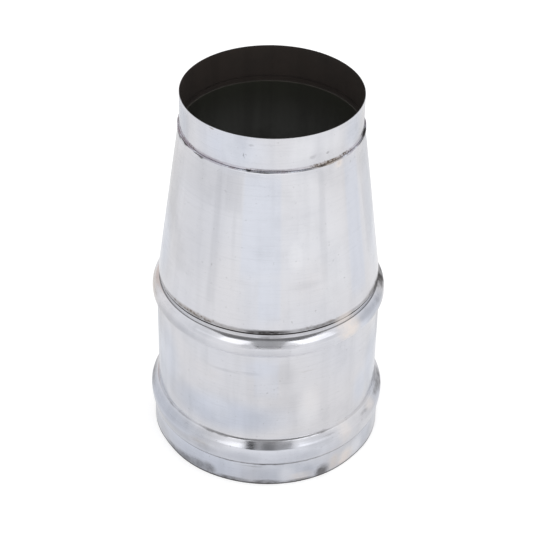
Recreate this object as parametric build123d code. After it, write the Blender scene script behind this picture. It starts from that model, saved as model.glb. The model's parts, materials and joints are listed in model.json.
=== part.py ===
from build123d import *
import math
import os

# Flue terminal cap: the open, tapered top end of a twin-wall metal flue.
# Millimetres, +Z up the flue, with the origin on the axis at the foot of the socket.
# Every piece is turned about the axis, and a sheet is drawn by the section of its outside face.

# Sheet and fits
casing_sheet = 0.5              # sleeve and cone
flue_sheet = 0.5                # neck and liner
lap_clearance = 0.05            # radial gap between two sheets that lap and are welded up
socket_clearance = 0.5          # radial gap round the casing that the socket slips over
weld_gap = 0.4                  # radial gap round the neck that the weld closes
bend_radius = 0.4               # beyond the sheet's own thickness, on the outside face of each bend

# Outside diameters
flue_diameter = 150.0           # neck and liner
body_diameter = 193.4           # sleeve between its beads
casing_diameter = 200.0         # casing of the flue below, which enters the socket

# Sleeve, from its foot upwards
socket_depth = 22.9
shoulder_bead_height = 2.75     # out from the wider of the walls below and above it
shoulder_bead_lead = 13.5       # from the socket's crease up to the crest
shoulder_bead_radius = 7.0      # round the crest, up to the flank
shoulder_flank_angle = 31.0     # degrees that the flank leans in from upright
shoulder_blend = 3.0            # radius where the flank runs into the body
body_height = 88.5
clamp_bead_height = 3.9         # out from the body's wall
clamp_bead_lead = 7.0           # from the body up to the crest
clamp_bead_fall = 10.6          # from the crest up to the spigot lip
spigot_step = 2.6               # the spigot lip lies this far inside the body's wall
spigot_show = 5.35              # bare lip between the clamp bead and the cone's hem
spigot_top_gap = 0.6            # the lip stops this far below the bend in the cone

# Cone, from its hem upwards
hem_height = 4.4
cone_height = 137.5
collar_height = 2.3

# Neck, liner and weld
weld_overhang = 0.45            # of the bead past the collar's face
weld_height = 1.1
weld_crown = 0.2                # the ridge of the bead stands this far out of a flat fillet, each way
joggle_height = 1.0             # where the neck widens into its bell
neck_height = 28.2              # straight wall above the joggle
bell_lap = 6.0                  # of the neck's bell over the liner
liner_top_drop = 3.2            # the liner's top lies this far below the top of the cone's collar
liner_foot_gap = 3.1            # between the socket's full depth and the liner's foot

# Radii worked out from the sizes above
neck_r = flue_diameter / 2
bell_r = neck_r + lap_clearance + flue_sheet
collar_r = bell_r + weld_gap + casing_sheet
body_r = body_diameter / 2
spigot_r = body_r - spigot_step
hem_r = spigot_r + lap_clearance + casing_sheet
clamp_bead_r = body_r + clamp_bead_height
socket_r = casing_diameter / 2 + socket_clearance + casing_sheet
shoulder_bead_r = max(socket_r, body_r) + shoulder_bead_height
flank_angle = math.radians(shoulder_flank_angle)
flank_foot_r = shoulder_bead_r - shoulder_bead_radius * (1 - math.cos(flank_angle))

# Heights worked out from the sizes above
shoulder_crest_z = socket_depth + shoulder_bead_lead
flank_foot_z = shoulder_crest_z + shoulder_bead_radius * math.sin(flank_angle)
body_foot_z = flank_foot_z + (flank_foot_r - body_r) / math.tan(flank_angle)
body_top_z = body_foot_z + body_height
clamp_crest_z = body_top_z + clamp_bead_lead
spigot_foot_z = clamp_crest_z + clamp_bead_fall
hem_z = spigot_foot_z + spigot_show
cone_foot_z = hem_z + hem_height
spigot_top_z = cone_foot_z - spigot_top_gap
collar_foot_z = cone_foot_z + cone_height
collar_top_z = collar_foot_z + collar_height
joggle_foot_z = collar_top_z + weld_height
joggle_top_z = joggle_foot_z + joggle_height
rim_z = joggle_top_z + neck_height
liner_top_z = collar_top_z - liner_top_drop
bell_foot_z = liner_top_z - bell_lap
liner_foot_z = socket_depth + liner_foot_gap


def at(radius, height):
    """A point of a section, which is drawn flat: radius across, height up."""
    return Vector(radius, height)


def nearest_vertices(wire, *points):
    """The wire's own vertices at these points."""
    return [wire.vertices().sort_by_distance(point)[0] for point in points]


def turned(section_wire):
    """The solid that a closed section makes when it is stood upright and turned about the axis."""
    return revolve(Plane.XZ * make_face(section_wire), axis=Axis.Z)


def turned_sheet(outside, sheet):
    """The solid of a sheet whose outside face has this section, drawn from the foot upwards."""
    return turned(offset(outside, amount=sheet, side=Side.LEFT))


def casing_sleeve():
    """Socket, shoulder bead, body, clamp bead and spigot lip, rolled in one sheet."""
    socket_crease = at(socket_r, socket_depth)
    shoulder_crest = at(shoulder_bead_r, shoulder_crest_z)
    flank_foot = at(flank_foot_r, flank_foot_z)
    body_foot = at(body_r, body_foot_z)
    body_top = at(body_r, body_top_z)
    clamp_crest = at(clamp_bead_r, clamp_crest_z)
    spigot_foot = at(spigot_r, spigot_foot_z)
    outside = Wire(
        [
            Line(at(socket_r, 0), socket_crease),
            TangentArc(shoulder_crest, socket_crease, tangent=(0, -1)),
            TangentArc(shoulder_crest, flank_foot, tangent=(0, 1)),
            Line(flank_foot, body_foot),
            Line(body_foot, body_top),
            TangentArc(clamp_crest, body_top, tangent=(0, -1)),
            TangentArc(clamp_crest, spigot_foot, tangent=(0, 1)),
            Line(spigot_foot, at(spigot_r, spigot_top_z)),
        ]
    )
    outside = outside.fillet_2d(shoulder_blend, nearest_vertices(outside, body_foot))
    creases = nearest_vertices(outside, socket_crease, body_top, spigot_foot)
    outside = outside.fillet_2d(bend_radius + casing_sheet, creases)
    return turned_sheet(outside, casing_sheet)


def cone_shell():
    """Hem over the spigot lip, taper, and a short collar round the neck's bell."""
    outside = FilletPolyline(
        at(hem_r, hem_z),
        at(hem_r, cone_foot_z),
        at(collar_r, collar_foot_z),
        at(collar_r, collar_top_z),
        radius=bend_radius + casing_sheet,
    )
    return turned_sheet(outside, casing_sheet)


def neck_collar():
    """Straight neck, widened at its foot into a bell that laps over the liner."""
    outside = FilletPolyline(
        at(bell_r, bell_foot_z),
        at(bell_r, joggle_foot_z),
        at(neck_r, joggle_top_z),
        at(neck_r, rim_z),
        radius=bend_radius + flue_sheet,
    )
    return turned_sheet(outside, flue_sheet)


def flue_liner():
    """Plain tube of the neck's own size, from above the socket up into the neck's bell."""
    bore_r = neck_r - flue_sheet
    corners = [
        at(bore_r, liner_foot_z),
        at(neck_r, liner_foot_z),
        at(neck_r, liner_top_z),
        at(bore_r, liner_top_z),
    ]
    return turned(Polyline(corners, close=True))


def neck_weld():
    """Fillet weld that joins the top of the cone's collar to the neck's bell."""
    root = at(bell_r, collar_top_z)
    toe = at(collar_r + weld_overhang, collar_top_z)
    head = at(bell_r, joggle_foot_z)
    ridge = (toe + head) / 2 + at(weld_crown, weld_crown)
    return turned(Polyline(root, toe, ridge, head, close=True))


os.makedirs("parts", exist_ok=True)
for piece in (casing_sleeve, cone_shell, neck_collar, flue_liner, neck_weld):
    export_step(piece(), f"parts/{piece.__name__}.step")
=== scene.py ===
import json
import math

import bpy
from mathutils import Matrix, Vector, noise


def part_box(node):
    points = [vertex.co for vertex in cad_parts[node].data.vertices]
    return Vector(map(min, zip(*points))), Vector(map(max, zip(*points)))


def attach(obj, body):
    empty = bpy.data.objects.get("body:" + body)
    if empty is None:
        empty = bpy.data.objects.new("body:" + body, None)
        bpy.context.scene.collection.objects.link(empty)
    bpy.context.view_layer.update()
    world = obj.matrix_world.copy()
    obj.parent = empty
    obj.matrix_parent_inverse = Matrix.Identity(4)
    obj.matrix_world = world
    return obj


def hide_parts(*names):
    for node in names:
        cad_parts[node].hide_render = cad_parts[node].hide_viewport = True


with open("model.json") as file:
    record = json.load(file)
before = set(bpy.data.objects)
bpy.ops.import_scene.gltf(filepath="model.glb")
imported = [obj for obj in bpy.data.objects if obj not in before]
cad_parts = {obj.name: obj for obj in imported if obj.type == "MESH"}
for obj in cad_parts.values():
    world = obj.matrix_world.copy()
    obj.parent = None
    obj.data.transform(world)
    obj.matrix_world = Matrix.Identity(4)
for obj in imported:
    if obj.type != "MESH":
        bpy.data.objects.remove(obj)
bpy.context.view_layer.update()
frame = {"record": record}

# Looks of a flue terminal cap: worn stainless sheet, a heat-tinted weld and a dark flue way.
# Sections are in millimetres, as (radius, height) points. An angle round the part is in degrees,
# from 0 at the front, growing towards the right.

MM = 0.001

# Which face of a sheet a section point lies on
OUTSIDE, INSIDE = 0, 1


def ring_size(node):
    """Outer radius, foot and top of a CAD node, in millimetres."""
    low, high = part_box(node)
    return high[0] / MM, low[2] / MM, high[2] / MM


def mount_radius(name):
    """Radius of one of the record's mounts, in millimetres."""
    return next(mount["dims"]["r_mm"] for mount in frame["record"]["mounts"] if mount["name"] == name)


# Sizes from the frame
shoulder_bead_r, foot_z, spigot_top_z = ring_size("casing_sleeve")
hem_r, hem_z, collar_top_z = ring_size("cone_shell")
bell_r, bell_foot_z, rim_z = ring_size("neck_collar")
liner_r, liner_foot_z, liner_top_z = ring_size("flue_liner")
weld_toe_r, weld_foot_z, weld_head_z = ring_size("neck_weld")
neck_r = mount_radius("outlet_neck")

# Sizes that the frame doesn't give
SHEET = 0.5
LAP_CLEARANCE = 0.05
WELD_GAP = 0.4
SPIGOT_STEP = 2.6
CLAMP_BEAD_HEIGHT = 3.9
CLAMP_BEAD_LEAD = 7.0
CLAMP_BEAD_FALL = 10.6
SOCKET_DEPTH = 22.9
SHOULDER_BEAD_LEAD = 13.5
SHOULDER_BEAD_RADIUS = 7.0
FLANK_ANGLE = math.radians(31)
BODY_HEIGHT = 88.5
HEM_HEIGHT = 4.4
COLLAR_HEIGHT = 2.3
JOGGLE_HEIGHT = 1.0
WELD_CROWN = 0.2

# The shoulder's flank bows in slightly, then drops to the body over a short steep step
CREST_RADIUS = 9.0
BOWED_FLANK_ANGLE = math.radians(37)
FLANK_BOW = 0.11
STEP_DROP = 1.87
STEP_HEIGHT = 1.15
STEP_DEPTH = 1.8

socket_r = mount_radius("casing_socket") + SHEET
spigot_r = hem_r - SHEET - LAP_CLEARANCE
body_r = spigot_r + SPIGOT_STEP
clamp_bead_r = body_r + CLAMP_BEAD_HEIGHT
collar_r = bell_r + WELD_GAP + SHEET
shoulder_crest_z = SOCKET_DEPTH + SHOULDER_BEAD_LEAD
flank_foot_r = shoulder_bead_r - SHOULDER_BEAD_RADIUS * (1 - math.cos(FLANK_ANGLE))
flank_foot_z = shoulder_crest_z + SHOULDER_BEAD_RADIUS * math.sin(FLANK_ANGLE)
body_foot_z = flank_foot_z + (flank_foot_r - body_r) / math.tan(FLANK_ANGLE)
body_top_z = body_foot_z + BODY_HEIGHT
clamp_crest_z = body_top_z + CLAMP_BEAD_LEAD
spigot_foot_z = clamp_crest_z + CLAMP_BEAD_FALL
cone_foot_z = hem_z + HEM_HEIGHT
collar_foot_z = collar_top_z - COLLAR_HEIGHT
joggle_top_z = weld_head_z + JOGGLE_HEIGHT
step_head_z = body_foot_z - STEP_DROP

# Resolution of the turned meshes: steps round them, along a wall, round an arc and round a corner
AROUND = 270
WELD_AROUND = 2160
WALL_STEP = 4.0
FINE_STEP = 1.0
LINER_STEP = 20.0
ARC_STEPS = 16
CORNER_STEPS = 4

# How far a rounded corner reaches along its sides: a bend, a cut edge, and the weld's own corners
BEND_REACH = 0.5
EDGE_REACH = 0.12
WELD_REACH = 0.3

# A corner that turns by less than the first stays as it is, and an edge past the second is shaded sharp
CORNER_TURN = math.radians(15)
SMOOTH_ANGLE = math.radians(40)

# Dents in the foot's edge, as (angle, half width in degrees, depth), and how far up they reach
FOOT_DENTS = ((-59, 13, 1.05), (51, 14, 0.9))
DENT_HEIGHT = 14.0

# The upright seam at the back of each rolled sheet, its widths in degrees round the part
BACK = 180
SEAM_HEIGHT = 0.12
SEAM_HALF_WIDTH = 0.45
FLAT_DEPTH = 0.15
FLAT_HALF_WIDTH = 5.0
SEAM_STEPS = (0.2, 0.4, 0.6, 0.8)

# Slow wave of a rolled sheet: its depth, its circle in the noise, and the height to a step of the noise
WAVE_DEPTH = 0.12
WAVE_CIRCLE = 1.4
WAVE_RISE = 60

# Scales of the weld: how many go round, their height, and the waver that shifts and lifts them
SCALES = 400
SCALE_HEIGHT = 0.09
WAVER_CIRCLE = 9
WAVER_LEVEL = 0.3
WAVER_SHIFT = 6
WAVER_HEIGHT = 0.14


def straight(start, end, step=WALL_STEP):
    """Points of a straight wall, without its last."""
    count = max(1, round(math.dist(start, end) / step))
    return [tuple(a + (b - a) * i / count for a, b in zip(start, end)) for i in range(count)]


def walls(corners, step=WALL_STEP):
    """Points of straight walls from corner to corner, with the last."""
    section = []
    for start, end in zip(corners, corners[1:]):
        section += straight(start, end, step)
    return section + corners[-1:]


def bowed(start, end, sag):
    """Points of a wall that bows in by this much at its middle, without its last."""
    points = straight(start, end, FINE_STEP)
    count = len(points)
    return [(r - 4 * sag * i / count * (1 - i / count), z) for i, (r, z) in enumerate(points)]


def bulge(crest, end):
    """Points of an arc from a crest, where the wall is upright, to its end."""
    across, rise = end[0] - crest[0], end[1] - crest[1]
    radius = (across**2 + rise**2) / (2 * abs(across))
    sweep = 2 * math.atan2(abs(across), abs(rise))
    turns = [sweep * i / ARC_STEPS for i in range(ARC_STEPS + 1)]
    return [
        (crest[0] - radius * (1 - math.cos(turn)), crest[1] + math.copysign(radius * math.sin(turn), rise))
        for turn in turns
    ]


def softened(points, reach, closed=False):
    """The same section with each sharp corner rounded over this reach."""
    count = len(points)
    result = []
    for i, point in enumerate(points):
        if not closed and i in (0, count - 1):
            result.append(point)
            continue
        here = Vector(point[:2])
        before = Vector(points[i - 1][:2]) - here
        after = Vector(points[(i + 1) % count][:2]) - here
        if before.length == 0 or after.length == 0 or abs(math.pi - before.angle(after)) < CORNER_TURN:
            result.append(point)
            continue
        start = here + before.normalized() * min(reach, before.length / 2)
        end = here + after.normalized() * min(reach, after.length / 2)
        for k in range(CORNER_STEPS + 1):
            t = k / CORNER_STEPS
            bend = start * (1 - t) ** 2 + here * 2 * t * (1 - t) + end * t**2
            result.append((bend.x, bend.y, *point[2:]))
    return result


def inward(points, distance):
    """The section moved towards the axis by this distance, along its own normals."""
    moved = []
    last = len(points) - 1
    for i, point in enumerate(points):
        along = Vector(points[min(i + 1, last)]) - Vector(points[max(i - 1, 0)])
        along.normalize()
        moved.append((point[0] - along.y * distance, point[1] + along.x * distance))
    return moved


def sheet_loop(outside):
    """Closed section of a sheet: its outside face from the foot up, then its inside face back down."""
    outside = softened(outside, BEND_REACH)
    loop = [(*point, OUTSIDE) for point in outside]
    loop += [(*point, INSIDE) for point in reversed(inward(outside, SHEET))]
    return softened(loop, EDGE_REACH, closed=True)


def sleeve_section():
    """Socket, shoulder bead, body, clamp bead and spigot lip."""
    shoulder_crest = (shoulder_bead_r, shoulder_crest_z)
    clamp_crest = (clamp_bead_r, clamp_crest_z)
    socket_crease = (socket_r, SOCKET_DEPTH)
    flank_foot = (
        shoulder_bead_r - CREST_RADIUS * (1 - math.cos(BOWED_FLANK_ANGLE)),
        shoulder_crest_z + CREST_RADIUS * math.sin(BOWED_FLANK_ANGLE),
    )
    step_head = (body_r, step_head_z)
    step_foot = (body_r + STEP_DEPTH, step_head_z - STEP_HEIGHT)
    body_top = (body_r, body_top_z)
    spigot_foot = (spigot_r, spigot_foot_z)
    return (
        straight((socket_r, foot_z), socket_crease, FINE_STEP)
        + bulge(shoulder_crest, socket_crease)[:0:-1]
        + bulge(shoulder_crest, flank_foot)[:-1]
        + bowed(flank_foot, step_foot, FLANK_BOW)
        + [step_foot]
        + straight(step_head, body_top)
        + bulge(clamp_crest, body_top)[:0:-1]
        + bulge(clamp_crest, spigot_foot)[:-1]
        + walls([spigot_foot, (spigot_r, spigot_top_z)], FINE_STEP)
    )


def cone_section():
    """Hem, taper and collar."""
    return walls([(hem_r, hem_z), (hem_r, cone_foot_z), (collar_r, collar_foot_z), (collar_r, collar_top_z)])


def neck_section():
    """Bell, joggle and straight neck."""
    return walls([(bell_r, bell_foot_z), (bell_r, weld_head_z), (neck_r, joggle_top_z), (neck_r, rim_z)])


def liner_section():
    """Plain inner tube."""
    return walls([(liner_r, liner_foot_z), (liner_r, liner_top_z)], LINER_STEP)


def weld_section():
    """Bead from the collar's edge up to the bell, as a closed loop."""
    root = (bell_r, weld_foot_z)
    toe = (weld_toe_r, weld_foot_z)
    head = (bell_r, weld_head_z)
    ridge = ((toe[0] + head[0]) / 2 + WELD_CROWN, (toe[1] + head[1]) / 2 + WELD_CROWN)
    loop = [(*point, OUTSIDE) for point in (root, toe, ridge, head)]
    return softened(loop, WELD_REACH, closed=True)


def noise_round(angle, circle, level):
    """Noise that meets itself round the part: the angle follows a circle of this radius in it."""
    turn = math.radians(angle)
    return noise.noise(Vector((circle * math.sin(turn), circle * math.cos(turn), level)))


def sheet_wander(angle, height):
    """A slow, slight wave of a rolled sheet, which lies inside a true round."""
    return WAVE_DEPTH * (noise_round(angle, WAVE_CIRCLE, height / WAVE_RISE) - 1)


def skirt_dent(angle, height):
    """Two shallow dents in the lower edge of the socket, left and right of the front."""
    up = height / DENT_HEIGHT
    dent = 0.0
    for middle, half_width, depth in FOOT_DENTS:
        across = (angle - middle) / half_width
        dent -= depth * math.exp(-across * across - up * up)
    return dent


def seam_ridge(angle):
    """The upright weld at the back, where the ends of a rolled sheet meet."""
    away = (BACK - abs(angle)) / SEAM_HALF_WIDTH
    return SEAM_HEIGHT * math.exp(-away * away)


def seam_flat(angle):
    """How a rolled sheet runs flat, inside the round, towards the seam."""
    away = (BACK - abs(angle)) / FLAT_HALF_WIDTH
    return -FLAT_DEPTH * math.exp(-away * away)


# Shape of each piece: how far a point stands out from a true round, in millimetres
def cone_shape(angle, height):
    return sheet_wander(angle, height) + seam_flat(angle) + seam_ridge(angle)


def sleeve_shape(angle, height):
    return cone_shape(angle, height) + skirt_dent(angle, height)


def neck_shape(angle, height):
    return seam_ridge(angle)


def true_round(angle, height):
    return 0.0


def weld_ripple(angle, height):
    """Scales of a hand-laid weld, about a millimetre apart, with a slow waver."""
    waver = noise_round(angle, WAVER_CIRCLE, WAVER_LEVEL)
    scale = math.sin(math.radians(angle) * SCALES + WAVER_SHIFT * waver)
    return SCALE_HEIGHT * scale + WAVER_HEIGHT * waver


def even_angles(count):
    """Angles of even steps round the part, from its back."""
    return [360 * step / count - BACK for step in range(count)]


def seamed_angles(count):
    """The same, with finer steps across the seam at the back."""
    return sorted(even_angles(count) + [side * (BACK - away) for away in SEAM_STEPS for side in (-1, 1)])


def turned(name, section, finishes, shape, angles):
    """A ring with this closed section, each point moved out by shape(angle, height)."""
    verts = []
    for angle in angles:
        turn = math.radians(angle)
        across, along = math.sin(turn), -math.cos(turn)
        for radius, height, _ in section:
            reach = (radius + shape(angle, height)) * MM
            verts.append((reach * across, reach * along, height * MM))
    count = len(section)
    faces = []
    sides = []
    for step in range(len(angles)):
        here = step * count
        there = (step + 1) % len(angles) * count
        for i, (_, _, side) in enumerate(section):
            j = (i + 1) % count
            faces.append((here + i, there + i, there + j, here + j))
            sides.append(side)
    mesh = bpy.data.meshes.new(name)
    mesh.from_pydata(verts, [], faces)
    for finish in finishes:
        mesh.materials.append(finish)
    mesh.polygons.foreach_set("material_index", sides)
    mesh.shade_smooth()
    mesh.set_sharp_from_angle(angle=SMOOTH_ANGLE)
    piece = bpy.data.objects.new(name, mesh)
    bpy.context.scene.collection.objects.link(piece)
    return piece


# Share of a mark's reach that has its full strength: a spot, a line round the part, and a line of painted
# shade in a crease
SPOT_CORE = 0.25
RING_CORE = 0.15
CREASE_CORE = 0.6

# Softness of an upright strip's sides, in degrees, and of its ends, in millimetres
STRIP_SIDE = 1.2
STRIP_END = 8.0

# Sockets of the node that mixes two colours
MIX_FACTOR, MIX_FIRST, MIX_SECOND, MIX_RESULT = 0, 6, 7, 2


class Finish:
    """Node tree of one material, with short names for the nodes that it needs."""

    def __init__(self, name):
        self.material = bpy.data.materials.new(name)
        self.material.use_nodes = True
        self.tree = self.material.node_tree
        self.shader = self.tree.nodes["Principled BSDF"]

    def feed(self, socket, value):
        """Links another node's output to a socket, or sets a plain value on it."""
        if isinstance(value, bpy.types.NodeSocket):
            self.tree.links.new(value, socket)
        else:
            socket.default_value = value

    def math(self, operation, first, second=0.0):
        node = self.tree.nodes.new("ShaderNodeMath")
        node.operation = operation
        self.feed(node.inputs[0], first)
        self.feed(node.inputs[1], second)
        return node.outputs[0]

    def vector(self, operation, first, second=(0.0, 0.0, 0.0)):
        node = self.tree.nodes.new("ShaderNodeVectorMath")
        node.operation = operation
        self.feed(node.inputs[0], first)
        self.feed(node.inputs[1], second)
        return node.outputs["Value" if operation == "LENGTH" else "Vector"]

    def noise(self, vector, scale=1.0, detail=2.0, roughness=0.5):
        node = self.tree.nodes.new("ShaderNodeTexNoise")
        self.feed(node.inputs["Vector"], vector)
        node.inputs["Scale"].default_value = scale
        node.inputs["Detail"].default_value = detail
        node.inputs["Roughness"].default_value = roughness
        return node.outputs[0]

    def span(self, value, low, high, to_low=0.0, to_high=1.0):
        """A value between low and high, eased to one between to_low and to_high."""
        node = self.tree.nodes.new("ShaderNodeMapRange")
        node.interpolation_type = "SMOOTHSTEP"
        for socket, number in zip(node.inputs, (value, low, high, to_low, to_high)):
            self.feed(socket, number)
        return node.outputs[0]

    def mix(self, factor, first, second, blend="MIX"):
        node = self.tree.nodes.new("ShaderNodeMix")
        node.data_type = "RGBA"
        node.blend_type = blend
        self.feed(node.inputs[MIX_FACTOR], factor)
        self.feed(node.inputs[MIX_FIRST], first)
        self.feed(node.inputs[MIX_SECOND], second)
        return node.outputs[MIX_RESULT]

    def layered(self, tone, layers, blend="MIX"):
        """The tone under several layers, each (mask, tint)."""
        for mask, tint in layers:
            tone = self.mix(mask, tone, tint, blend)
        return tone

    def bump(self, height, distance):
        node = self.tree.nodes.new("ShaderNodeBump")
        node.inputs["Strength"].default_value = 1.0
        node.inputs["Distance"].default_value = distance
        self.feed(node.inputs["Height"], height)
        self.feed(self.shader.inputs["Normal"], node.outputs[0])

    def place(self):
        """Where a point of the surface lies on the part, in metres."""
        return self.tree.nodes.new("ShaderNodeTexCoord").outputs["Object"]

    def unrolled(self):
        """The surface laid flat: angle from the front in degrees, height in millimetres."""
        x, y, z = self.split(self.place())
        turn = self.math("ARCTAN2", x, self.math("MULTIPLY", y, -1.0))
        join = self.tree.nodes.new("ShaderNodeCombineXYZ")
        self.feed(join.inputs[0], self.math("MULTIPLY", turn, math.degrees(1)))
        self.feed(join.inputs[1], self.math("MULTIPLY", z, 1 / MM))
        return join.outputs[0]

    def split(self, vector):
        node = self.tree.nodes.new("ShaderNodeSeparateXYZ")
        self.feed(node.inputs[0], vector)
        return tuple(node.outputs)

    def most(self, masks):
        """The strongest of several masks."""
        total = masks[0]
        for mask in masks[1:]:
            total = self.math("MAXIMUM", total, mask)
        return total

    def soft(self, unrolled, centre, scale, core, strength):
        """One soft mask that is strongest at its centre and scaled to end at a distance of 1."""
        away = self.vector("MULTIPLY", self.vector("SUBTRACT", unrolled, centre), scale)
        return self.span(self.vector("LENGTH", away), low=1.0, high=core, to_high=strength)

    def spots(self, unrolled, places):
        """One mask of several soft spots, each (angle, height, half width, half height, strength)."""
        masks = []
        for angle, height, half_width, half_height, strength in places:
            scale = (1 / half_width, 1 / half_height, 0.0)
            masks.append(self.soft(unrolled, (angle, height, 0.0), scale, SPOT_CORE, strength))
        return self.most(masks)

    def rings(self, unrolled, places, core=RING_CORE):
        """One mask of several lines round the part, each (height, half height, strength)."""
        masks = []
        for height, half_height, strength in places:
            scale = (0.0, 1 / half_height, 0.0)
            masks.append(self.soft(unrolled, (0.0, height, 0.0), scale, core, strength))
        return self.most(masks)

    def strips(self, unrolled, places):
        """One mask of several upright strips with firm sides, each (left, right, low, high, strength)."""
        masks = []
        for left, right, low, high, strength in places:
            centre = ((left + right) / 2, (low + high) / 2, 0.0)
            half_size = ((right - left) / 2, (high - low) / 2, 0.0)
            away = self.vector("ABSOLUTE", self.vector("SUBTRACT", unrolled, centre))
            across, along, _ = self.split(self.vector("SUBTRACT", away, half_size))
            side = self.span(across, low=STRIP_SIDE, high=-STRIP_SIDE, to_high=strength)
            masks.append(self.math("MULTIPLY", side, self.span(along, low=STRIP_END, high=-STRIP_END)))
        return self.most(masks)


def colour(*rgb):
    return (*rgb, 1.0)


# Tints of the steel
PLAIN = colour(0.715, 0.709, 0.735)
# The sheet's bluish tone; the same tint also paints bluish reflections.
COOL = colour(0.653, 0.684, 0.770)
# Duller steel; the same tint also paints shade and darker reflections.
DULLING_AND_SHADE = colour(0.800, 0.805, 0.815)
TAN = colour(0.805, 0.745, 0.710)
BROWN = colour(0.330, 0.285, 0.245)
VIOLET = colour(0.320, 0.285, 0.330)
# Grime; the same tint also paints shade and darker reflections.
GRIME_AND_SHADE = colour(0.095, 0.090, 0.090)
# Soot; the same tint also paints dark lines of shade.
SOOT_AND_SHADE = colour(0.030, 0.027, 0.026)
RUST = colour(0.150, 0.118, 0.095)
# Painted sheen: a paler tint that stands in for brighter reflections.
PAINTED_SHEEN = colour(0.930, 0.935, 0.960)

# Tints of the flue way
NECK_INSIDE = colour(0.040, 0.0325, 0.0290)
NECK_INSIDE_TOP = colour(0.036, 0.0290, 0.0255)
LINER_INSIDE = colour(0.028, 0.0295, 0.0225)
# Painted glow lower down the liner: a painted reflection of the light from below.
LINER_PAINTED_GLOW = colour(0.125, 0.126, 0.122)
INSIDE_DARKER = colour(0.016, 0.0145, 0.0135)
# Painted highlight along the liner's top edge.
LINER_EDGE_HIGHLIGHT = colour(0.080, 0.074, 0.064)

# Down the liner, the height where its painted glow is palest, and how far the painted highlight on its top
# edge reaches
GLOW_HEIGHT = 235.0
LINER_EDGE_REACH = 1.3

# Stretch of the noise across angle and height, or x, y and z: fine marks round the part, upright
# streaks, dark streaks inside, and heat along the weld
BRUSH_STRETCH = (30.0, 30.0, 1000.0)
STREAK_STRETCH = (0.11, 0.005, 0.0)
INSIDE_STREAK_STRETCH = (0.09, 0.006, 0.0)
HEAT_STRETCH = (0.07, 0.0, 0.0)

# Where in the noise the broad bluish patches lie, in metres from the part
PATCH_SHIFT = (3.1, 1.7, 0.4)

# How far the ragged edge of a stain strays, in degrees and millimetres, and the middle of that
RAGGED_REACH = (3.0, 2.0, 0.0)
RAGGED_MIDDLE = (1.5, 1.0, 0.0)

# Degrees from the seam at the back where its heat tint, and the dark line along it, end and are full
SEAM_HEAT = (3.2, 0.6)
SEAM_LINE = (0.75, 0.35)

# Roughness added under grime and painted shade
DIRT_AND_SHADE_ROUGHNESS = 0.30

# Marks on the steel. Places are (angle, height, half width, half height, strength), strips are
# (left, right, low, high, strength), and rings and bands are (height, half height, strength).
# Haze adds to the roughness. The others tint the steel.
# Bluish places: partly the sheet's own tone, partly painted bluish reflection, most of all at the sides of
# the part and on the clamp bead.
cool_places = [
    (-5, 240, 15, 130, 0.5), (56, 240, 12, 90, 0.4), (-24, 322, 32, 26, 0.8), (60, 322, 14, 24, 0.7),
    (-22, 70, 46, 26, 0.95), (70, 90, 14, 45, 0.9), (-62, 100, 14, 50, 0.7), (4, 30, 60, 26, 0.6),
    (-4, 125, 12, 14, 0.5), (-35, 14, 50, 26, 0.9), (12, 12, 36, 20, 0.7), (60, 14, 16, 22, 0.6),
    (58, 150, 12, 12, 0.75), (-74, 320, 18, 26, 0.8), (-78, 85, 24, 64, 1.0), (78, 85, 20, 64, 0.9),
    (-80, 200, 18, 50, 0.8), (80, 240, 20, 90, 0.7), (-76, 14, 20, 22, 0.7), (76, 30, 16, 30, 0.5),
    (58, 74, 10, 26, 0.7), (-60, 40, 44, 14, 0.8), (66, 151, 18, 9, 0.8), (172, 230, 14, 130, 0.7),
    (128, 80, 30, 40, 0.6), (-132, 90, 24, 50, 0.6),
]
# Upright strips of painted bluish reflection on the cone and body.
bluish_reflection_strips = [
    (-15, 6.3, 214, 303, 0.6), (-5, 6.3, 174, 214, 0.6), (48.5, 61, 178, 300, 0.5), (-6, 6, 95, 136, 0.4),
]
# Duller places: partly smudges, partly painted shade and darker reflections, such as round the skirt near the
# floor and on the flanks and ends of the beads.
dull_and_shade_places = [
    (-42, 285, 34, 34, 0.45), (-42, 240, 26, 60, 0.25), (-20, 250, 1.6, 45, 0.25), (20, 204, 13, 6, 0.35),
    (-6, 67, 16, 20, 0.5), (-50, 70, 24, 24, 0.55), (-24, 66, 30, 16, 0.35), (-22, 119, 12, 2.2, 0.5),
    (-8, 120, 7, 2.5, 0.4), (-66, 290, 8, 12, 0.4), (68, 288, 10, 16, 0.5), (0, 6, 300, 24, 0.5),
    (66, 110, 10, 30, 0.2), (54, 154, 9, 5, 0.4), (-82, 147, 18, 11, 1.0), (-62, 14, 14, 14, 0.4),
    (9, 118, 8, 20, 0.55), (-68, 70, 12, 30, 0.4), (-3, 9, 18, 18, 0.85), (-68, 12, 14, 20, 0.4),
    (22, 10, 6, 14, 1.0), (68, 10, 9, 14, 0.9), (-60, 31, 52, 9, 1.0), (-30, 31, 10, 8, 1.0),
    (-12, 31, 14, 8, 0.7), (22, 31, 9, 8, 0.5), (74, 31, 14, 8, 0.8), (-78, 74, 16, 30, 0.6),
    (72, 74, 14, 26, 0.3), (-66, 10, 14, 16, 0.9), (-84, 10, 26, 18, 1.0), (76, 118, 12, 30, 0.3),
    (-68, 118, 12, 24, 0.3), (-60, 42.5, 44, 9, 1.0), (-30, 42.5, 14, 8, 1.0), (28, 42.5, 14, 7, 0.8),
    (66, 42.5, 16, 8, 0.9), (-54, 145, 36, 8, 1.0), (0, 145, 16, 6, 0.6), (68, 146, 16, 8, 1.0),
    (62, 152, 20, 6, 1.0), (32, 152.5, 10, 4, 0.7), (-34, 152.5, 14, 4, 0.6), (150, 260, 5, 60, 0.4),
    (-152, 240, 4, 70, 0.4), (-118, 285, 30, 30, 0.4), (120, 70, 20, 26, 0.35),
]
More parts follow.
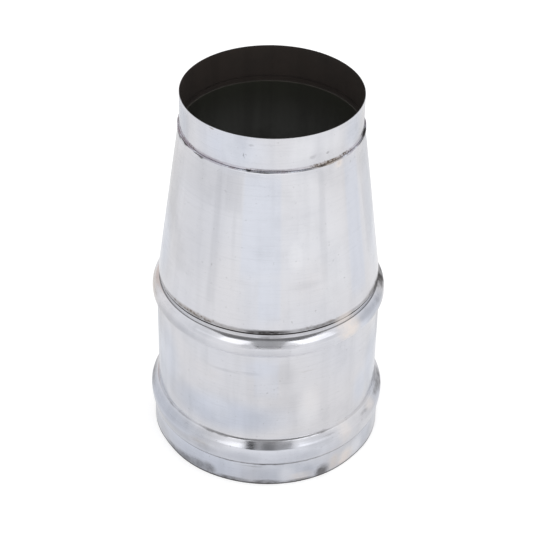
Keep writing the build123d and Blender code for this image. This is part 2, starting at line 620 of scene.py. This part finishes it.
# Upright strips of painted darker reflection on the cone.
dark_reflection_strips = [
    (-33, -28.8, 182, 302, 0.34), (28.8, 32.4, 206, 302, 0.34), (-26, -16, 268, 302, 0.40),
]
# Tan stains; the spot at the left end of the clamp bead is a painted warm reflection.
tan_places = [
    (44, 151, 10, 13, 0.95), (43, 160, 8, 8, 0.8), (43, 38, 6, 15, 0.5), (18, 6, 9, 7, 0.5),
    (45, 8, 8, 12, 0.9), (37, 10, 5, 12, 0.6), (44, 302, 5, 4, 0.8), (-86, 147, 20, 10, 0.9),
    (22, 210, 14, 32, 0.16), (-30, 112, 12, 14, 0.14), (24, 90, 8, 26, 0.14), (66, 43, 6, 7, 0.5),
]
# Brown stains; the faint spot at the left end of the clamp bead adds to the painted warm reflection there.
brown_places = [
    (-42, 164.5, 24, 3.4, 0.65), (33, 164.5, 2.5, 2.2, 0.6), (36, 306.8, 18, 2.4, 0.9),
    (-34, 36, 8, 4, 0.25), (-86, 149, 18, 9, 0.26), (36.5, 9, 5, 11, 0.16), (-38, 334.8, 3, 1.0, 0.7),
    (-18, 162.5, 10, 2.5, 0.4), (20, 120, 7, 1.0, 0.16), (44.5, 303.2, 1.8, 2.2, 0.5),
    (172, 307, 16, 2.6, 0.7), (112, 164.5, 34, 3.2, 0.4), (-122, 164.5, 30, 3.2, 0.4),
]
violet_places = [
    (-62, 306.8, 16, 2.8, 0.9), (-38, 306.6, 16, 2.4, 0.65), (56, 306, 5, 3, 0.6),
    (128, 306.8, 26, 2.6, 0.7), (-140, 306.8, 24, 2.6, 0.7),
]
# Grime on the weld and neck, and painted shade and darker reflections: along the foot and on the skirt, in
# the socket crease, on the flanks and ends of the beads, on the step, and on the hem and the lip below it.
grime_and_shade_places = [
    (-53, 3.0, 12, 5.0, 0.55), (-44, 4.0, 12, 7.0, 0.6), (-35, 5.0, 11, 9.0, 0.62), (-29, 5.5, 6, 10, 0.62),
    (30, 5.0, 5.5, 10.5, 0.8), (1, 2.2, 10, 4.4, 0.8), (-18, 0.8, 60, 2.8, 0.7), (0, 163.0, 17, 3.2, 1.1),
    (84, 164.5, 32, 6.0, 0.9), (28, 163.0, 18, 3.0, 0.45), (2, 157.8, 9, 2.2, 0.45),
    (-46, 304.3, 2.6, 1.5, 0.9), (-64, 304.4, 3.4, 1.6, 0.9), (79, 306, 9, 5, 1.0),
    (-80, 303.6, 9, 2.0, 0.8), (-12, 328.8, 2.2, 1.5, 0.35), (-16.5, 319, 0.6, 3.0, 0.5),
    (26, 316, 3.0, 2.2, 0.2), (36.5, 316.2, 1.5, 1.5, 0.35), (63, 324, 2, 5, 0.12), (0, 23.6, 60, 1.8, 0.5),
    (-5, 20.4, 8, 1.4, 0.25), (-31, 30, 4, 8, 0.12), (-16, 2.2, 13, 3.8, 0.8), (17, 1.6, 12, 3.0, 0.6),
    (93, 154.5, 22, 7.5, 1.0), (86, 43.5, 15, 7.5, 0.8), (77, 44.6, 6, 4, 0.5), (59, 43.2, 5, 2.0, 0.35),
    (33, 43.8, 5, 0.7, 0.4), (-86, 11, 24, 16, 0.17), (76, 152.8, 18, 5, 0.34), (58, 153, 13, 4, 0.17),
    (-48, 43, 30, 6, 0.07), (-60, 47.8, 8, 0.9, 0.35), (-48, 47.7, 8, 0.9, 0.3), (-76, 303.6, 7, 2.8, 0.9),
    (-92, 41, 18, 6.5, 0.5), (150, 4, 18, 6, 0.5), (-148, 3, 20, 5, 0.5),
]
# Dark spots along the weld, and painted shade along the hem, the step and the socket crease.
soot_and_shade_places = [
    (-5, 305.9, 11, 0.7, 0.95), (-13, 306.6, 2.4, 1.5, 0.9), (21, 306.0, 7, 0.8, 0.7),
    (49, 308.3, 2.6, 1.1, 0.8), (32, 306.2, 4, 1.0, 0.7), (1, 23.2, 9, 1.3, 0.65), (-24, 47.6, 17, 1.2, 0.5),
    (29, 47.6, 9, 1.2, 0.5), (0, 162.9, 11, 2.0, 0.9), (84, 160.2, 22, 4.8, 1.2), (-66, 305.4, 13, 1.3, 1.3),
    (-48, 305.3, 9, 0.9, 1.1), (70, 305.6, 8, 1.3, 1.2), (80, 306, 8, 3.0, 1.0), (150, 306, 9, 0.8, 0.7),
    (-112, 306, 8, 0.8, 0.7),
]
# Painted shade along the creases: under the hem, at the feet of the spigot and the weld, in the socket
# crease, on the step, at the body's top and along the foot.
crease_shade_rings = [
    (hem_z - 0.95, 1.0, 1.0), (spigot_foot_z, 0.45, 0.70), (SOCKET_DEPTH + 0.3, 0.55, 0.40),
    (step_head_z - 0.4, 0.6, 0.15), (body_top_z, 0.35, 0.25), (foot_z + 0.5, 1.1, 0.7),
    (weld_foot_z, 0.5, 0.5),
]
# Painted shade on the hem and on the lip below it.
hem_shade_bands = [(hem_z + 0.9, 1.4, 0.35), (hem_z + 1.8, 2.9, 0.35), (spigot_foot_z + 2.4, 3.0, 0.18)]
smear_places = [(42, 161.5, 8, 6.5, 0.5), (44.5, 303.5, 3.5, 2.6, 0.6)]
speck_places = [
    (36, 307.4, 18, 2.4, 1.2), (-9, 307.0, 9, 1.8, 1.0), (52, 307.2, 7, 2.6, 1.2), (-62, 306.6, 13, 2.2, 1.2),
    (-42, 164, 26, 3.4, 0.8), (28, 164, 16, 2.6, 0.6), (160, 307, 30, 2.4, 1.0), (-130, 307, 30, 2.4, 1.0),
]
# Painted sheen: paler places that stand in for brighter reflections, and a painted highlight along the collar
# under the weld.
painted_sheen_places = [
    (19, 322, 12, 20, 0.32), (15, 232, 8, 22, 0.36), (22, 80, 8, 30, 0.28), (36, 225, 18, 70, 0.20),
    (-10, 322, 10, 16, 0.14), (-24, 322, 12, 20, 0.14), (40, 322, 14, 20, 0.20), (-2, 245, 32, 100, 0.13),
    (22, 240, 12, 36, 0.26), (20, 285, 16, 26, 0.18), (38, 196, 16, 32, 0.22), (-24, 74, 10, 18, 0.12),
    (53, 10, 8, 16, 0.5), (46, 10, 6, 14, 0.3), (11, 10, 6, 14, 0.3), (0, 304.6, 36, 0.8, 0.4),
]
haze_places = [(-9, 150.6, 6, 2.2, 0.40), (11, 150.6, 6, 2.2, 0.40), (1, 150.6, 10, 2.0, 0.15)]
# Painted sheen on the underside of the clamp bead.
painted_sheen_rings = [(body_top_z + 1.9, 2.2, 1.0)]
heat_bands = [(weld_head_z + 0.4, 2.0, 0.55)]
# Painted highlight along the liner's top edge.
liner_edge_highlights = [(liner_top_z, LINER_EDGE_REACH, 1.0)]


def steel(name):
    """Worn bright sheet: fine marks round the part, smudges and stain marks, painted shade in the creases and
    on the hem, and painted reflections and sheen in places.
    """
    finish = Finish(name)
    shader = finish.shader
    place = finish.place()
    unrolled = finish.unrolled()
    brush = finish.noise(finish.vector("MULTIPLY", place, BRUSH_STRETCH), detail=3.0, roughness=0.6)
    streak = finish.noise(finish.vector("MULTIPLY", unrolled, STREAK_STRETCH), detail=3.0, roughness=0.6)
    cloud = finish.noise(place, scale=18.0, detail=5.0, roughness=0.62)
    patch = finish.noise(finish.vector("ADD", place, PATCH_SHIFT), scale=7.0)
    edge = finish.noise(place, scale=140.0, detail=3.0, roughness=0.6)
    fleck = finish.noise(place, scale=420.0)
    ragged = finish.vector("ADD", unrolled, finish.vector("MULTIPLY", edge, RAGGED_REACH))
    ragged = finish.vector("SUBTRACT", ragged, RAGGED_MIDDLE)
    patchy = finish.span(edge, low=0.36, high=0.62, to_low=0.60)
    specked = finish.span(fleck, low=0.44, high=0.66)
    from_seam = finish.math("SUBTRACT", BACK, finish.math("ABSOLUTE", finish.split(unrolled)[0]))

    def patchy_spots(places):
        """Spots with a ragged edge, broken up in places."""
        return finish.math("MULTIPLY", finish.spots(ragged, places), patchy)

    # Bluish tone, with painted bluish reflections.
    bluish = [
        (finish.span(patch, low=0.40, high=0.65, to_high=0.35), COOL),
        (finish.spots(unrolled, cool_places), COOL),
        (finish.strips(unrolled, bluish_reflection_strips), COOL),
    ]
    # Duller tone, with painted shade and darker reflections.
    dulled_and_shaded = [
        (finish.span(streak, low=0.42, high=0.70, to_high=0.30), DULLING_AND_SHADE),
        (finish.span(cloud, low=0.45, high=0.72, to_high=0.50), DULLING_AND_SHADE),
        (finish.span(brush, low=0.46, high=0.76, to_high=0.28), DULLING_AND_SHADE),
        (finish.spots(unrolled, dull_and_shade_places), DULLING_AND_SHADE),
        (finish.strips(unrolled, dark_reflection_strips), DULLING_AND_SHADE),
    ]
    # Stain marks, and the painted sheen.
    stains_and_sheen = [
        (finish.spots(unrolled, painted_sheen_places), PAINTED_SHEEN),
        (finish.rings(unrolled, painted_sheen_rings), PAINTED_SHEEN),
        (finish.span(fleck, low=0.68, high=0.76, to_high=0.25), GRIME_AND_SHADE),
        (finish.math("MULTIPLY", finish.rings(ragged, heat_bands), patchy), VIOLET),
        (patchy_spots(tan_places), TAN),
        (patchy_spots(brown_places), BROWN),
        (patchy_spots(violet_places), VIOLET),
        (finish.math("MULTIPLY", finish.span(from_seam, *SEAM_HEAT, to_high=0.38), patchy), BROWN),
        (finish.span(from_seam, *SEAM_LINE, to_high=0.40), VIOLET),
    ]
    # Grime, and painted shade in the creases, on the hem and round the foot.
    dirt_and_shade = [
        (finish.rings(ragged, hem_shade_bands), GRIME_AND_SHADE),
        (patchy_spots(grime_and_shade_places), GRIME_AND_SHADE),
        (patchy_spots(soot_and_shade_places), SOOT_AND_SHADE),
        (finish.rings(unrolled, crease_shade_rings, CREASE_CORE), SOOT_AND_SHADE),
        (finish.math("MULTIPLY", finish.spots(ragged, speck_places), specked), RUST),
    ]
    smears = [(finish.spots(ragged, smear_places), TAN)]
    tone = finish.layered(finish.layered(PLAIN, bluish), dulled_and_shaded, "MULTIPLY")
    tone = finish.layered(tone, stains_and_sheen + dirt_and_shade + smears)

    # Where grime and painted shade lie, the steel is rougher and less metallic.
    dirt_and_shade_mask = finish.most([mask for mask, _ in dirt_and_shade])
    rough = finish.span(cloud, low=0.3, high=0.7, to_low=0.11, to_high=0.19)
    rough = finish.math("ADD", rough, finish.span(brush, low=0.3, high=0.8, to_high=0.07))
    rough = finish.math("ADD", rough, finish.spots(unrolled, haze_places))
    rough = finish.math("ADD", rough, finish.math("MULTIPLY", dirt_and_shade_mask, DIRT_AND_SHADE_ROUGHNESS))
    finish.feed(shader.inputs["Base Color"], tone)
    finish.feed(shader.inputs["Roughness"], rough)
    finish.feed(shader.inputs["Metallic"], finish.span(dirt_and_shade_mask, low=0.2, high=0.9, to_low=1.0, to_high=0.0))
    shader.inputs["Specular IOR Level"].default_value = 0.0
    finish.bump(brush, distance=0.00003)
    return finish.material


def dark_inside(name, tints, heights, edges=()):
    """Dark inner face of a sheet: one tint at the first height, eased to another at the second.

    A painted highlight along an edge is a ring, as (height, half height, strength).
    """
    finish = Finish(name)
    shader = finish.shader
    unrolled = finish.unrolled()
    cloud = finish.noise(finish.place(), scale=22.0, detail=4.0, roughness=0.6)
    streak = finish.noise(finish.vector("MULTIPLY", unrolled, INSIDE_STREAK_STRETCH), detail=3.0)
    depth = finish.span(finish.split(unrolled)[1], *heights)
    layers = [
        (finish.span(cloud, low=0.40, high=0.70, to_high=0.4), INSIDE_DARKER),
        (finish.span(streak, low=0.40, high=0.65, to_high=0.22), INSIDE_DARKER),
    ]
    if edges:
        patchy = finish.span(cloud, low=0.35, high=0.60, to_low=0.45)
        layers.append((finish.math("MULTIPLY", finish.rings(unrolled, edges), patchy), LINER_EDGE_HIGHLIGHT))
    finish.feed(shader.inputs["Base Color"], finish.layered(finish.mix(depth, *tints), layers))
    finish.feed(shader.inputs["Roughness"], finish.span(cloud, low=0.3, high=0.7, to_low=0.45, to_high=0.62))
    shader.inputs["Metallic"].default_value = 0.0
    shader.inputs["Specular IOR Level"].default_value = 0.25
    finish.bump(cloud, distance=0.0002)
    return finish.material


def weld_metal(name):
    """Rough weld with brown and violet heat tint."""
    finish = Finish(name)
    shader = finish.shader
    unrolled = finish.unrolled()
    heat = finish.noise(finish.vector("MULTIPLY", unrolled, HEAT_STRETCH), detail=3.0)
    grain = finish.noise(finish.place(), scale=500.0, detail=4.0, roughness=0.6)
    tone = finish.mix(finish.span(heat, low=0.38, high=0.55), VIOLET, COOL)
    layers = [
        (finish.span(grain, low=0.50, high=0.70, to_high=0.7), BROWN),
        (finish.spots(unrolled, brown_places), BROWN),
        (finish.spots(unrolled, violet_places), VIOLET),
        (finish.spots(unrolled, grime_and_shade_places), GRIME_AND_SHADE),
        (finish.spots(unrolled, soot_and_shade_places), SOOT_AND_SHADE),
    ]
    finish.feed(shader.inputs["Base Color"], finish.layered(tone, layers))
    finish.feed(shader.inputs["Roughness"], finish.span(grain, low=0.3, high=0.7, to_low=0.24, to_high=0.42))
    shader.inputs["Metallic"].default_value = 1.0
    finish.bump(grain, distance=0.0001)
    return finish.material


sheet_steel = steel("sheet_steel")
neck_dark = dark_inside("neck_dark", (NECK_INSIDE, NECK_INSIDE_TOP), (liner_top_z, rim_z))
# The liner is dark inside, with a painted glow lower down and a painted highlight on its top edge.
liner_dark = dark_inside("liner_dark", (LINER_INSIDE, LINER_PAINTED_GLOW), (liner_top_z, GLOW_HEIGHT), liner_edge_highlights)
weld_tinted = weld_metal("weld_tinted")

sheets = {
    "casing_sleeve": (sleeve_section, sheet_steel, sheet_steel, sleeve_shape, "casing_steel"),
    "cone_shell": (cone_section, sheet_steel, sheet_steel, cone_shape, "casing_steel"),
    "neck_collar": (neck_section, sheet_steel, neck_dark, neck_shape, "flue_steel"),
    "flue_liner": (liner_section, sheet_steel, liner_dark, true_round, "flue_steel"),
}
for node, (section, outside_finish, inside_finish, shape, slot) in sheets.items():
    finishes = (outside_finish, inside_finish)
    piece = turned(f"{node}_sheet", sheet_loop(section()), finishes, shape, seamed_angles(AROUND))
    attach(piece, "root")
    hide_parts(node)

weld = turned("neck_weld_bead", weld_section(), (weld_tinted,), weld_ripple, even_angles(WELD_AROUND))
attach(weld, "root")
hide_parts("neck_weld")

# Studio, in metres: the place that lamps and cards look at, and how far off they stand
MIDDLE = Vector((0.0, 0.0, 0.15))
LAMP_DISTANCE = 1.7
CARD_DISTANCE = 2.4
FLAG_PLACE = -0.70
ARC_LIFT = 0.0005

# Floor: half its width, how far it lies below the foot, its colour, and how much of white each kind of
# ray sees of it beyond what the lamps light
FLOOR_REACH = 6.0
FLOOR_DROP = 0.0002
FLOOR_TINT = colour(0.62, 0.62, 0.62)
FLOOR_LEVELS = {"Is Camera Ray": 0.52, "Is Glossy Ray": 0.335, "Is Transmission Ray": 0.335}


def towards(azimuth, elevation, distance):
    """A place seen from the part: azimuth from the front, growing to the right, in degrees."""
    turn, rise = math.radians(azimuth), math.radians(elevation)
    flat = distance * math.cos(rise)
    return Vector((flat * math.sin(turn), -flat * math.cos(turn), distance * math.sin(rise)))


def facing(place, target):
    """Matrix of a lamp or card that stands at a place and looks at the target."""
    return Matrix.Translation(place) @ (target - place).to_track_quat("-Z", "Y").to_matrix().to_4x4()


def span_at(distance, degrees):
    """Width that fills this angle at this distance."""
    return 2 * distance * math.tan(math.radians(degrees / 2))


def rectangle(width, height):
    """Corners of a flat piece, round its middle."""
    x, y = width / 2, height / 2
    return [(-x, -y, 0.0), (x, -y, 0.0), (x, y, 0.0), (-x, y, 0.0)]


def flat_piece(name, corners, material):
    """A flat piece of the studio with these corners."""
    mesh = bpy.data.meshes.new(name)
    mesh.from_pydata(corners, [], [tuple(range(len(corners)))])
    mesh.materials.append(material)
    piece = bpy.data.objects.new(name, mesh)
    bpy.context.scene.collection.objects.link(piece)
    return piece


def softbox(name, azimuth, elevation, width, height, radiance):
    """Area lamp that fills these angles, seen from the part."""
    lamp = bpy.data.lights.new(name, "AREA")
    lamp.shape = "RECTANGLE"
    lamp.size = span_at(LAMP_DISTANCE, width)
    lamp.size_y = span_at(LAMP_DISTANCE, height)
    lamp.energy = radiance * math.pi * lamp.size * lamp.size_y
    holder = bpy.data.objects.new(name, lamp)
    holder.matrix_world = facing(MIDDLE + towards(azimuth, elevation, LAMP_DISTANCE), MIDDLE)
    holder.visible_camera = False
    bpy.context.scene.collection.objects.link(holder)


def reflected_card(name, matrix, corners, tint):
    """A dim card that only reflections show, as the dark of a studio."""
    material = bpy.data.materials.new(name)
    material.use_nodes = True
    nodes = material.node_tree.nodes
    nodes.remove(nodes["Principled BSDF"])
    glow = nodes.new("ShaderNodeEmission")
    glow.inputs["Color"].default_value = colour(*tint)
    material.node_tree.links.new(glow.outputs[0], nodes["Material Output"].inputs["Surface"])
    holder = flat_piece(name, corners, material)
    holder.matrix_world = matrix
    holder.visible_camera = False
    holder.visible_shadow = False
    holder.visible_diffuse = False


def card(name, azimuth, elevation, width, height, tint):
    """A card far off that fills these angles, seen from the part."""
    matrix = facing(MIDDLE + towards(azimuth, elevation, CARD_DISTANCE), MIDDLE)
    corners = rectangle(span_at(CARD_DISTANCE, width), span_at(CARD_DISTANCE, height))
    reflected_card(name, matrix, corners, tint)


def flag(name, left, right, low, high, tint):
    """An upright card close in front of the part, between these places across and up."""
    place = Vector(((left + right) / 2, FLAG_PLACE, (low + high) / 2))
    matrix = facing(place, Vector((place.x, 0.0, place.z)))
    reflected_card(name, matrix, rectangle(right - left, high - low), tint)


def floor_arc(name, inner, outer, start, end, tint):
    """A card laid on the floor round the part, between these radii and azimuths."""
    turns = [math.radians(start + (end - start) * step / ARC_STEPS) for step in range(ARC_STEPS + 1)]
    corners = [(outer * math.sin(turn), -outer * math.cos(turn), 0.0) for turn in turns]
    corners += [(inner * math.sin(turn), -inner * math.cos(turn), 0.0) for turn in reversed(turns)]
    reflected_card(name, Matrix.Translation((0.0, 0.0, ARC_LIFT)), corners, tint)


def grey(level):
    return (level, level, level)


def pale_floor():
    """White floor that keeps a soft shadow of the part."""
    finish = Finish("floor_white")
    nodes = finish.tree.nodes
    finish.shader.inputs["Base Color"].default_value = FLOOR_TINT
    finish.shader.inputs["Roughness"].default_value = 1.0
    finish.shader.inputs["Specular IOR Level"].default_value = 0.0
    path = nodes.new("ShaderNodeLightPath")
    seen = [finish.math("MULTIPLY", path.outputs[ray], level) for ray, level in FLOOR_LEVELS.items()]
    glow = nodes.new("ShaderNodeEmission")
    finish.feed(glow.inputs["Strength"], finish.most(seen))
    both = nodes.new("ShaderNodeAddShader")
    finish.feed(both.inputs[0], finish.shader.outputs[0])
    finish.feed(both.inputs[1], glow.outputs[0])
    finish.feed(nodes["Material Output"].inputs["Surface"], both.outputs[0])
    floor = flat_piece("floor", rectangle(2 * FLOOR_REACH, 2 * FLOOR_REACH), finish.material)
    floor.location.z = -FLOOR_DROP


# Lamps: azimuth, elevation, width and height in degrees, then radiance
softbox("softbox_right", 48, 37, 32, 34, 0.65)
softbox("softbox_left", -32.5, 36, 22, 34, 0.50)
softbox("softbox_left_low", -56, 24.5, 24, 11, 0.18)

# Flags in front: left, right, low and high in metres
flag("flag_left", -0.206, -0.104, 0.22, 0.44, grey(0.01))
flag("flag_gap", -0.104, -0.038, 0.26, 0.43, grey(0.52))
flag("flag_middle", -0.038, 0.096, 0.26, 0.43, grey(0.19))
flag("flag_right", 0.096, 0.310, 0.26, 0.43, grey(0.36))
flag("flag_low", -0.115, 0.150, 0.20, 0.26, grey(0.45))

# Cards far off: azimuth, elevation, width and height in degrees
card("dark_high", 1, 46, 26, 48, grey(0.45))
card("dark_right", 166, 20, 40, 50, grey(0.30))
card("dark_ceiling", 0, 90, 60, 60, grey(0.20))
card("beige_left", -155, 15, 50, 40, (0.84, 0.76, 0.72))

# Shade on the floor: inner and outer radius in metres, then the azimuths in degrees
floor_arc("shade_near_left", 0.165, 0.240, -180, -118, grey(0.82))
floor_arc("shade_near_right", 0.165, 0.240, 126, 180, grey(0.78))
floor_arc("shade_far_left", 0.430, 0.600, -180, -118, grey(0.82))
floor_arc("shade_far_right", 0.400, 0.600, 118, 180, grey(0.87))

pale_floor()

world = bpy.data.worlds.new("white_studio")
world.use_nodes = True
background = world.node_tree.nodes["Background"]
background.inputs["Color"].default_value = colour(1.0, 1.0, 1.0)
background.inputs["Strength"].default_value = 1.0
bpy.context.scene.world = world

# Camera, fitted to the photograph's outline: its place in metres, its lens and sensor in millimetres
CAMERA_PLACE = Vector((0.0, -1.1448, 0.9932))
PITCH, YAW, ROLL = math.radians(36.013), math.radians(0.096), math.radians(1.12)
LENS = 110.72
SENSOR_WIDTH = 36.0
CLIP_START = 0.01

view = bpy.data.cameras.new("camera")
view.lens = LENS
view.sensor_width = SENSOR_WIDTH
view.clip_start = CLIP_START
camera = bpy.data.objects.new("camera", view)
right = Vector((math.cos(YAW), math.sin(YAW), 0.0))
ahead = Vector((-math.sin(YAW) * math.cos(PITCH), math.cos(YAW) * math.cos(PITCH), -math.sin(PITCH)))
up = right.cross(ahead)
across = right * math.cos(ROLL) + up * math.sin(ROLL)
above = up * math.cos(ROLL) - right * math.sin(ROLL)
camera.matrix_world = Matrix.Translation(CAMERA_PLACE) @ Matrix((across, above, -ahead)).transposed().to_4x4()
bpy.context.scene.collection.objects.link(camera)
bpy.context.scene.camera = camera
bpy.context.scene.view_settings.view_transform = "Standard"
